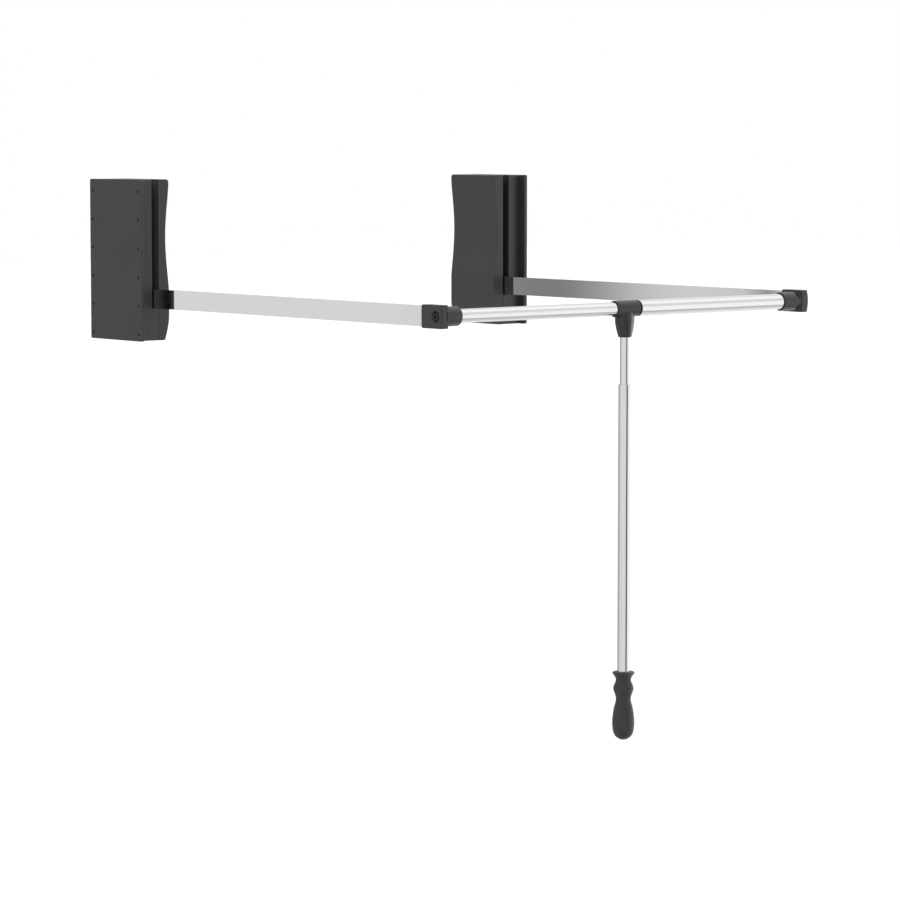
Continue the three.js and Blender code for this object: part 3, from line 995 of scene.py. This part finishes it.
def tube(
    name: str, axis: Axis, radii: Span, ends: Span,
    centre: Point, roll: float = 0.35 * MM,
) -> Piece:
    """A tube with softly rolled edges.

    Args:
        name: The object's name.
        axis: The axis that it lies along.
        radii: Its outer and inner radius.
        ends: Where it starts and ends along its axis, counted from the centre.
        centre: A point on its axis.
        roll: The radius that its edges are rolled to.

    Returns:
        The closed tube wall.
    """
    out, inn = radii
    low, high = ends
    outline = [
        (inn, low + roll / 2), (inn + roll / 2, low), (out - roll, low),
        (out - 0.3 * roll, low + 0.3 * roll), (out, low + roll), (out, high - roll),
        (out - 0.3 * roll, high - 0.3 * roll), (out - roll, high), (inn + roll / 2, high),
        (inn, high - roll / 2), (inn, low + roll / 2),
    ]
    obj = turned(name, axis, outline, centre, 96)
    even_light(obj, 50)
    return obj


@dataclass
class PullRod:
    """The rod that swings under the rail on its tee, with a sliding lower tube and a grip."""

    x: float = 427 * MM
    reach: float = 810 * MM
    sleeve_half: float = 25 * MM
    sleeve: float = 13.2 * MM
    stem_drop: float = 46 * MM
    flank: float = 12.2 * MM
    flank_bearing: float = 31
    socket_top: float = -16 * MM
    rail: float = 11 * MM
    thin: Span = (8 * MM, 6.8 * MM)
    thin_ends: Span = (-400 * MM, -16.3 * MM)
    thick: Span = (10.25 * MM, 9.25 * MM)
    thick_ends: Span = (-600.7 * MM, -122 * MM)
    screw_z: float = -32 * MM
    rim: float = 3.2 * MM
    widening: float = 0.4
    flank_foot: float = 0.86
    paring: float = 0.85
    gap: float = 0.3 * MM

    @property
    def centre(self) -> Point:
        """Where the rod's axis crosses the rail's."""
        return (self.x, -self.reach, 0)

    def build(self) -> None:
        """Builds and dresses the tee, the two tubes and the grip."""
        tee = self.tee("tee_moulding")
        hand_over(tee, "pull_rod", TEE_PLASTIC, ["tee_fitting"])
        upper = tube("rod_thin_tube", Axis.Z, self.thin, self.thin_ends, self.centre)
        hand_over(upper, "pull_rod", ROD_CHROME, ["rod_inner_tube"])
        lower = tube("rod_thick_tube", Axis.Z, self.thick, self.thick_ends, self.centre)
        hand_over(lower, "rod_sleeve", ROD_CHROME, ["rod_outer_tube"])
        Grip().build(self.centre)

    def tee(self, name: str) -> Piece:
        """Makes the moulded tee: a sleeve round the rail, blended into an oval stem.

        Args:
            name: The piece's name.

        Returns:
            The tee.
        """
        half, r, drop, rim = self.sleeve_half, self.sleeve, self.stem_drop, self.rim
        sleeve = turned(name, Axis.X, [
            (0, -half), (r - 0.6 * MM, -half), (r, -half + 0.6 * MM),
            *arc((r - rim, half - rim), rim, 0, 90, 5), (0, half),
        ], self.centre, 96)
        profile = flowing([
            (10.7 * MM, -drop + 1.2 * MM), (12.1 * MM, -drop + 9 * MM),
            (12.9 * MM, -drop + 19 * MM), (13.1 * MM, -drop + 30 * MM), (13.1 * MM, -4 * MM),
        ], 4)
        stem = turned("stem", Axis.Z, [
            (0, -drop), (9.8 * MM, -drop), (10.4 * MM, -drop + 0.35 * MM), *profile,
            (0, -4 * MM),
        ], self.centre, 96)
        self.flatten_flank(stem)
        combine(sleeve, "UNION", stem)
        apply_modifier(sleeve, "REMESH", mode="VOXEL", voxel_size=0.45 * MM)
        apply_modifier(sleeve, "SMOOTH", factor=0.5, iterations=6)
        rail = cylinder("rail", Axis.X, self.rail + self.gap,
                        (self.x - half - MM, self.x + half + MM), self.centre, 96)
        socket = cylinder("socket", Axis.Z, self.thin[0] + self.gap,
                          (-drop - MM, self.socket_top), self.centre, 72)
        screw = cylinder("screw", Axis.Y, 1.8 * MM, (5 * MM - self.reach, 20 * MM - self.reach),
                         (self.x, 0, self.screw_z), 24)
        combine(sleeve, "DIFFERENCE", rail, socket, screw)
        pick(sleeve)
        bpy.ops.object.shade_smooth_by_angle(angle=math.radians(40))
        return sleeve

    def flatten_flank(self, stem: Piece) -> None:
        """Makes the stem oval, and pares its front right side to a flat that faces forwards.

        Args:
            stem: The turned stem, whose vertices are moved.
        """
        bearing = math.radians(self.flank_bearing)
        outwards = Vector((math.sin(bearing), -math.cos(bearing), 0))
        middle = Vector((self.x, -self.reach, 0))
        for vertex in stem.data.vertices:
            up = (vertex.co.z + self.stem_drop) / self.stem_drop
            rise = min(1.0, up * 1.9)
            vertex.co.x = self.x + (vertex.co.x - self.x) * (1 + self.widening * rise)
            limit = self.flank * (self.flank_foot + (1 - self.flank_foot) * rise)
            excess = (vertex.co - middle).dot(outwards) - limit
            if excess > 0:
                vertex.co -= outwards * excess * self.paring


@dataclass
class Grip:
    """The turned grip at the end of the pull rod."""

    top: float = -587 * MM
    bore: float = 10.55 * MM
    bore_depth: float = 14 * MM
    length: float = 111.5 * MM
    outline: tuple[Span, ...] = (
        (18.3, 2.5), (14.0, 8.5), (12.55, 15.0), (16.6, 27.3), (12.2, 44.2),
        (15.9, 61.5), (18.1, 81.0), (16.95, 96.4), (13.0, 105.5), (5.8, 110.6),
    )

    def build(self, centre: Point) -> None:
        """Builds and dresses the grip.

        Args:
            centre: Where the rod's axis crosses the rail's.
        """
        curve = flowing([(r * MM, self.top - drop * MM) for r, drop in self.outline], 8)
        profile = [
            (0, self.top - self.bore_depth), (self.bore, self.top - self.bore_depth),
            (self.bore, self.top - 0.5 * MM), (self.bore + 0.5 * MM, self.top),
            (16.4 * MM, self.top), (17.6 * MM, self.top - 0.7 * MM), *curve,
            (2.8 * MM, self.top - self.length + 0.2 * MM), (0, self.top - self.length),
        ]
        grip = turned("grip", Axis.Z, profile, centre, 96)
        even_light(grip, 50)
        hand_over(grip, "rod_sleeve", GRIP_PLASTIC, ["handle"])


class InnerWorks:
    """The small parts inside, which stay as packed and only get their finishes."""

    FINISHES: dict[str, Finish] = {
        # The slot plate's finish is a paler charcoal: painted light for the shaded slot.
        "slot_plate": SLOT_PAINTED_LIGHT_PLASTIC, "pivot_axle": ZINC_STEEL, "shell_bush": NATURAL_NYLON,
        "plate_bush": NATURAL_NYLON, "lift_spring": SPRING_WIRE, "spring_anchor": ZINC_STEEL,
        "damper_body": BLACK_PLASTIC, "stop_bumper": STOP_RUBBER, "cover_screw_1": ZINC_STEEL,
        "cover_screw_2": ZINC_STEEL, "cover_screw_3": ZINC_STEEL, "crank": ZINC_STEEL,
        "crank_pin": ZINC_STEEL, "yoke": ZINC_STEEL, "spring_guide_rod": ZINC_STEEL,
        "damper_rod": ZINC_STEEL, "rail_plug": NATURAL_NYLON,
    }
    SHARED: dict[str, Finish] = {
        "rail_glide": NATURAL_NYLON, "rail_bush": BLACK_PLASTIC, "rod_glide": NATURAL_NYLON,
        "rod_bush": NATURAL_NYLON, "tee_screw": ZINC_STEEL,
    }

    def dress(self) -> None:
        """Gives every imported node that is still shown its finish."""
        wanted = {
            f"{side.value}_{name}": finish
            for side in Side for name, finish in self.FINISHES.items()
        }
        wanted.update(self.SHARED)
        for name, finish in wanted.items():
            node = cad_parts[name]
            PAINT.coat(node, finish)
            LOG.info("%s keeps its packed shape, in %s", name, finish.name)


# ---- studio --------------------------------------------------------------------------------------


@dataclass
class Studio:
    """A pale floor, patterned surroundings, a small card that glows and the camera."""

    azimuth: float = 39.918
    elevation: float = 5.143
    distance: float = 6147.8 * MM
    lens: float = 146.86
    sensor: float = 36
    clip: Span = (0.1, 60)
    target: Point = (430 * MM, -475 * MM, -71 * MM)
    offset: Span = (-67.8 * MM, -179.2 * MM)
    floor_z: float = -1.3
    floor_size: float = 60
    card_x: float = 68.5 * MM
    card_z: float = -49 * MM
    card_height: float = 54 * MM

    # How bright the walls are by compass direction in degrees, from -Y towards +X.
    WALL = (
        (-180, 0.58), (-160, 0.55), (-149, 0.6), (-146, 1.11), (-131, 1.11), (-125, 0.86),
        (-106, 1.2), (-85, 1.3), (-66, 1.12), (-47, 1.17), (-9, 1.07), (20, 1.25), (32, 1.25),
        (38, 1.4), (44, 1.53), (56, 1.53), (100, 1.65), (125, 1.4), (145, 0.6), (180, 0.58),
    )
    # A finer pattern of posts at the back left, which the far arm mirrors.
    POSTS = (
        (-150, 1.0), (-140.4, 1.0), (-139.8, 0.38), (-139.2, 0.35), (-138.7, 0.28),
        (-138.2, 0.31), (-137.7, 0.5), (-137.3, 0.7), (-136.8, 0.87), (-136.2, 0.94),
        (-135.7, 0.88), (-135.3, 0.8), (-135.05, 0.5), (-134.8, 0.12), (-134.2, 0.2),
        (-132, 0.7), (-130, 1.0),
    )
    # A dark upright card in front, which the rod mirrors.
    CARD = ((-9, 1.0), (-6.5, 0.09), (14.5, 0.09), (19, 1.0))
    # Where the posts and the card end, by the upward part of the direction.
    POST_ENDS = ((-0.24, 1.0), (-0.21, 0.0), (0.03, 0.0), (0.06, 1.0))
    CARD_ENDS = ((-0.42, 1.0), (-0.36, 0.0), (0.06, 0.0), (0.1, 1.0))
    # How bright they are by the upward part of the direction.
    HEIGHT = ((-1.0, 0.6), (-0.85, 0.8), (-0.5, 1.0), (0.7, 1.0), (1.0, 1.2))
    # Strips that run along X, by their angle above -Y in degrees.
    STRIPS = (
        (-180, 1.0), (-150, 1.0), (-120, 0.93), (-95, 0.86), (-75, 0.72), (-60, 0.58),
        (-45, 0.5), (-40, 1.0), (5, 1.0), (14, 0.9), (27, 0.72), (50, 0.76), (60, 1.0), (88, 0.96),
        (105, 0.82), (125, 0.8), (150, 1.0), (180, 1.0),
    )
    BRIGHTEST = 2.0
    # How bright the small card is from its front edge to its back one, by place along Y.
    GLOW = (
        (-61, 0.84), (-22, 0.76), (-4, 0.58), (8, 0.5), (22, 0.56), (50, 0.76), (75, 0.87),
    )

    def place_camera(self) -> None:
        """Puts the camera where it looks at the rail from the front left, a little above."""
        az, el = math.radians(self.azimuth), math.radians(self.elevation)
        right = Vector((math.cos(az), -math.sin(az), 0))
        back = Vector((-math.sin(az) * math.cos(el), -math.cos(az) * math.cos(el), math.sin(el)))
        up = back.cross(right)
        aim = Vector(self.target) + right * self.offset[0] + up * self.offset[1]
        bpy.ops.object.camera_add(location=aim + back * self.distance)
        camera = bpy.context.object
        camera.name = "camera"
        camera.rotation_mode = "QUATERNION"
        camera.rotation_quaternion = Matrix((right, up, back)).transposed().to_quaternion()
        camera.data.lens = self.lens
        camera.data.sensor_width = self.sensor
        camera.data.clip_start, camera.data.clip_end = self.clip
        bpy.context.scene.camera = camera

    def light(self) -> None:
        """Lights the scene from the surroundings, which the camera itself sees as plain white."""
        world = bpy.data.worlds.new("studio")
        bpy.context.scene.world = world
        graph = Graph(world)
        room = graph.nodes["Background"]
        graph.feed(room, {"Color": self._surroundings(graph), "Strength": self.BRIGHTEST ** 5})
        seen = graph.add("ShaderNodeBackground", {"Color": WHITE, "Strength": 1.0})
        choice = graph.add("ShaderNodeMixShader", {
            "Fac": graph.add("ShaderNodeLightPath")["Is Camera Ray"],
            1: room.outputs["Background"], 2: seen["Background"],
        })
        graph.feed(graph.nodes["World Output"], {"Surface": choice["Shader"]})
        bpy.context.scene.view_settings.view_transform = "Standard"

    def _surroundings(self, graph: Graph) -> Socket:
        """Patterns the surroundings by direction: pale walls, strips, posts and a dark card.

        Args:
            graph: The world's nodes.

        Returns:
            The brightness in each direction.
        """
        place = graph.add("ShaderNodeTexCoord")["Generated"]
        parts = graph.add("ShaderNodeSeparateXYZ", {"Vector": place})
        ahead = graph.maths("MULTIPLY", parts["Y"], -1.0)
        turn = graph.maths("ARCTAN2", parts["X"], ahead)
        roll = graph.maths("ARCTAN2", parts["Z"], ahead)
        upwards, degree = parts["Z"], math.degrees(1)
        tone = self._shade(graph, turn, degree, self.WALL)
        for way, unit, stops in ((upwards, 1.0, self.HEIGHT), (roll, degree, self.STRIPS)):
            tone = graph.maths("MULTIPLY", tone, self._shade(graph, way, unit, stops))
        for stops, ends in ((self.POSTS, self.POST_ENDS), (self.CARD, self.CARD_ENDS)):
            shade = self._shade(graph, turn, degree, stops)
            open_air = self._shade(graph, upwards, 1.0, ends)
            tone = graph.maths("MULTIPLY", tone, graph.maths("MAXIMUM", shade, open_air))
        return tone

    def _shade(self, graph: Graph, way: Socket, unit: float, stops: Sequence[Span]) -> Socket:
        """Looks a brightness up along one way of measuring.

        Args:
            graph: The nodes to add to.
            way: The measure, as an angle in radians, a part of the direction or a place.
            unit: What turns the measure into the unit of the stops.
            stops: Places and how bright it is there. Beyond them it stays the same.

        Returns:
            The brightness, as a share of the brightest.
        """
        first, last = stops[0][0], stops[-1][0]
        span = graph.add("ShaderNodeMapRange", {
            "Value": way, "From Min": first / unit, "From Max": last / unit,
        })
        ramp = graph.nodes.new("ShaderNodeValToRGB")
        graph.feed(ramp, {"Fac": span["Result"]})
        elements = ramp.color_ramp.elements
        while len(elements) < len(stops):
            elements.new(1.0)
        for element, (place, grey) in zip(elements, stops):
            element.position = (place - first) / (last - first)
            element.color = (*[grey / self.BRIGHTEST] * 3, 1)
        return ramp.outputs["Color"]

    def lay_floor(self) -> None:
        """Lays the pale floor, far below and never seen in the polished parts."""
        bpy.ops.mesh.primitive_plane_add(size=self.floor_size, location=(0, 0, self.floor_z))
        floor = bpy.context.object
        floor.name = "floor"
        paint = bpy.data.materials.new("pale_floor")
        graph = Graph(paint)
        place = graph.add("ShaderNodeTexCoord")["Object"]
        cloud = graph.add("ShaderNodeTexNoise", {"Vector": place, "Scale": 0.4})["Fac"]
        graph.feed(graph.nodes["Principled BSDF"], {
            "Roughness": 1.0, "Base Color": graph.mottle(cloud, (0.97, 0.97, 0.97, 1), WHITE),
            "Emission Color": WHITE, "Emission Strength": 0.1,
        })
        floor.data.materials.append(paint)
        floor.visible_glossy = False

    def hang_card(self) -> None:
        """Hangs a small glowing card beside the left housing's foot, for the far arm to mirror.

        Only mirrors see it, and only from the inside of the rail.
        """
        front, back = self.GLOW[0][0] * MM, self.GLOW[-1][0] * MM
        bpy.ops.mesh.primitive_plane_add(
            size=1, location=(self.card_x, (front + back) / 2, self.card_z),
            rotation=(0, math.pi / 2, 0),
        )
        card = bpy.context.object
        card.scale = (self.card_height, back - front, 1)
        settle(card, "mirror_card")
        paint = bpy.data.materials.new("card_glow")
        graph = Graph(paint)
        place = graph.add("ShaderNodeTexCoord")["Object"]
        along = graph.add("ShaderNodeSeparateXYZ", {"Vector": place})["Y"]
        glow = graph.add("ShaderNodeEmission", {
            "Color": self._shade(graph, along, 1 / MM, self.GLOW), "Strength": self.BRIGHTEST,
        })
        choice = graph.add("ShaderNodeMixShader", {
            "Fac": graph.add("ShaderNodeNewGeometry")["Backfacing"],
            1: glow["Emission"], 2: graph.add("ShaderNodeBsdfTransparent")["BSDF"],
        })
        graph.feed(graph.nodes["Material Output"], {"Surface": choice["Shader"]})
        card.data.materials.append(paint)
        card.visible_camera = card.visible_diffuse = card.visible_shadow = False


def main() -> None:
    """Builds the whole scene."""
    logging.basicConfig(level=logging.INFO, format="%(name)s: %(message)s")
    studio = Studio()
    studio.place_camera()
    studio.light()
    studio.lay_floor()
    studio.hang_card()
    for side in Side:
        Housing(side).build()
        SwingArm(side).build()
    RailBracket(Side.LEFT, tube=11 * MM, collar_end=74.7 * MM).build()
    RailBracket(Side.RIGHT, tube=13 * MM, collar_end=85.1 * MM, waist=1.3 * MM).build()
    HangingRail().build()
    PullRod().build()
    InnerWorks().dress()


if __name__ == "__main__":
    main()
